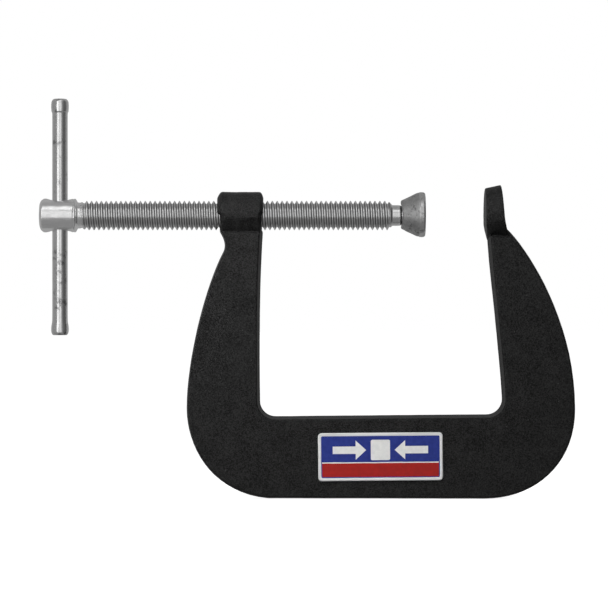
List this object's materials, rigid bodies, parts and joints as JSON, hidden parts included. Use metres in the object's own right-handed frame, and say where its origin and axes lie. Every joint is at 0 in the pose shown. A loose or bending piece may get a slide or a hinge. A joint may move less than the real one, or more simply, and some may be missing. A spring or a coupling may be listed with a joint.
{
  "type": "c clamp",
  "caption": "Deep-throat C clamp: a forged frame with a threaded boss, a screw with a sliding tommy bar, and a swivel pad facing a round anvil.",
  "frame": {"origin": "centre of the anvil's face, on the screw's axis", "axes": "+X from the screw's head to the anvil, along the screw; +Z from the spine to the screw; -Y out of the labelled side"},
  "size_m": [0.174, 0.0198, 0.1299],
  "materials": {
    "black_coating": "fine-textured satin black powder coat",
    "zinc_steel": "bright zinc plate on turned and rolled steel",
    "pad_steel": "matte zinc plate on cold-formed steel",
    "label_foil": "printed foil, satin"
  },
  "bodies": {
    "frame": {"clamp_frame": "black_coating", "label_plate": "label_foil"},
    "ball": {"ball_tip": "zinc_steel"},
    "spindle": {"screw_spindle": "zinc_steel"},
    "bar": {"tommy_bar": "zinc_steel"},
    "pad": {"swivel_pad": "pad_steel"}
  },
  "joints": [
    {"name": "screw_feed", "type": "slide", "parent": "frame", "child": "ball", "axis": [1, 0, 0], "range_m": [-0.0434, 0.0178]},
    {"name": "screw_turn", "type": "hinge", "parent": "ball", "child": "spindle", "pos_m": [-0.025, 0, 0], "axis": [1, 0, 0], "range_deg": [-9840, 4030]},
    {"name": "bar_slide", "type": "slide", "parent": "spindle", "child": "bar", "axis": [0, 0, 1], "range_m": [-0.0278, 0.0288]},
    {"name": "pad_tilt", "type": "hinge", "parent": "ball", "child": "pad", "pos_m": [-0.025, 0, 0], "axis": [0, 1, 0], "range_deg": [-8, 8]}
  ],
  "couplings": [
    {"joint": "screw_feed", "follows": "screw_turn", "m_per_rad": 0.00025266}
  ]
}
